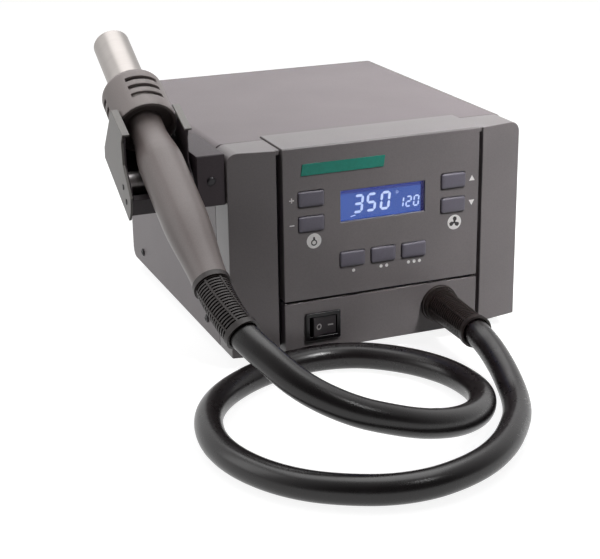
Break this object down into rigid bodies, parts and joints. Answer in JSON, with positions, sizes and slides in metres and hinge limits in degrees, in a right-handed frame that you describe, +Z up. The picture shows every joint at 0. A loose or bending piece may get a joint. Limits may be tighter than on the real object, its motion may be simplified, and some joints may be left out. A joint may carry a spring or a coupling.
{
  "type": "hot air rework station",
  "caption": "Bench hot air station: sheet metal case with display, keys and rocker switch, and a heating handle in a side holder on a black hose.",
  "frame": {"origin": "on the bench under the middle of the station and its holder, without the hose", "axes": "+Z up, +Y from the front panel to the back, +X to the right seen from the front"},
  "size_m": [0.2468, 0.4187, 0.1902],
  "materials": {
    "cover_paint": "satin",
    "rear_paint": "satin",
    "zinc_sheet": "satin",
    "front_plastic": "fine texture",
    "frame_plastic": "matte",
    "button_plastic": "satin",
    "gloss_black": "gloss",
    "badge_film": "gloss",
    "window_glass": "gloss",
    "lcd_blue": "lit",
    "board_green": "satin",
    "part_grey": "satin",
    "black_rubber": "satin",
    "hose_rubber": "semi-gloss",
    "holder_black": "satin",
    "cheek_paint": "satin",
    "bar_metal": "satin",
    "screw_steel": "satin",
    "screw_black": "satin",
    "pin_brass": "polished",
    "blower_plastic": "matte",
    "impeller_white": "matte",
    "motor_steel": "satin",
    "core_iron": "lacquered",
    "coil_tape": "satin",
    "sink_aluminium": "satin",
    "pipe_steel": "brushed",
    "grip_plastic": "satin",
    "heater_ceramic": "matte",
    "mica": "satin"
  },
  "bodies": {
    "station": {"base_plate": "zinc_sheet", "top_cover": "cover_paint", "rear_panel": "rear_paint", "front_frame": "frame_plastic", "left_wing": "front_plastic", "right_wing": "front_plastic", "control_panel": "front_plastic", "lower_panel": "front_plastic", "badge_plate": "badge_film", "lcd_window": "window_glass", "lcd_module": "lcd_blue", "display_board": "board_green", "tact_switches": "part_grey", "switch_bezel": "gloss_black", "outlet_bush": "black_rubber", "outlet_strain_relief": "black_rubber", "hose": "hose_rubber", "holder_bracket": "holder_black", "holder_tray": "holder_black", "outer_cheek": "cheek_paint", "inner_cheek": "cheek_paint", "rest_bar": "bar_metal", "holder_screws": "screw_black", "reed_sensor": "window_glass", "mains_inlet": "frame_plastic", "inlet_pins": "pin_brass", "inlet_screws": "screw_steel", "fuse_holder": "frame_plastic", "fuse_cap": "frame_plastic", "feet": "black_rubber", "foot_screws": "screw_steel", "cover_screws": "screw_black", "rear_screws": "screw_black", "blower_housing": "blower_plastic", "blower_lid": "blower_plastic", "blower_motor": "motor_steel", "blower_mounts": "black_rubber", "air_duct": "black_rubber", "transformer_core": "core_iron", "transformer_coil": "coil_tape", "power_board": "board_green", "board_standoffs": "pin_brass", "heat_sink": "sink_aluminium"},
    "handle": {"nozzle_pipe": "pipe_steel", "vent_collar": "grip_plastic", "handle_grip": "grip_plastic", "heater_core": "heater_ceramic", "mica_tube": "mica", "grip_magnet": "motor_steel", "handle_strain_relief": "black_rubber"},
    "rotor": {"blower_impeller": "impeller_white", "motor_shaft": "motor_steel"},
    "rocker": {"power_rocker": "gloss_black"},
    "temp_up_key": {"temp_up_button": "button_plastic"},
    "temp_down_key": {"temp_down_button": "button_plastic"},
    "air_up_key": {"air_up_button": "button_plastic"},
    "air_down_key": {"air_down_button": "button_plastic"},
    "preset_1_key": {"preset_1_button": "button_plastic"},
    "preset_2_key": {"preset_2_button": "button_plastic"},
    "preset_3_key": {"preset_3_button": "button_plastic"}
  },
  "joints": [
    {"name": "temp_up_press", "type": "slide", "parent": "station", "child": "temp_up_key", "axis": [0, 1, 0], "range_m": [0, 0.0008], "stiffness_N_per_m": 500, "springref_m": -0.001},
    {"name": "temp_down_press", "type": "slide", "parent": "station", "child": "temp_down_key", "axis": [0, 1, 0], "range_m": [0, 0.0008], "stiffness_N_per_m": 500, "springref_m": -0.001},
    {"name": "air_up_press", "type": "slide", "parent": "station", "child": "air_up_key", "axis": [0, 1, 0], "range_m": [0, 0.0008], "stiffness_N_per_m": 500, "springref_m": -0.001},
    {"name": "air_down_press", "type": "slide", "parent": "station", "child": "air_down_key", "axis": [0, 1, 0], "range_m": [0, 0.0008], "stiffness_N_per_m": 500, "springref_m": -0.001},
    {"name": "preset_1_press", "type": "slide", "parent": "station", "child": "preset_1_key", "axis": [0, 1, 0], "range_m": [0, 0.0008], "stiffness_N_per_m": 500, "springref_m": -0.001},
    {"name": "preset_2_press", "type": "slide", "parent": "station", "child": "preset_2_key", "axis": [0, 1, 0], "range_m": [0, 0.0008], "stiffness_N_per_m": 500, "springref_m": -0.001},
    {"name": "preset_3_press", "type": "slide", "parent": "station", "child": "preset_3_key", "axis": [0, 1, 0], "range_m": [0, 0.0008], "stiffness_N_per_m": 500, "springref_m": -0.001},
    {"name": "power_rock", "type": "hinge", "parent": "station", "child": "rocker", "pos_m": [-0.0112, -0.05598, 0.0233], "axis": [0, 0, 1], "range_deg": [-16, 0]},
    {"name": "blower_spin", "type": "hinge", "parent": "station", "child": "rotor", "pos_m": [0.0407, 0.05752, 0.024], "axis": [0, 0, 1], "continuous": true},
    {"name": "handle_draw", "type": "slide", "parent": "station", "child": "handle", "axis": [0, 0.8387, 0.5446], "range_m": [0, 0.06]}
  ]
}
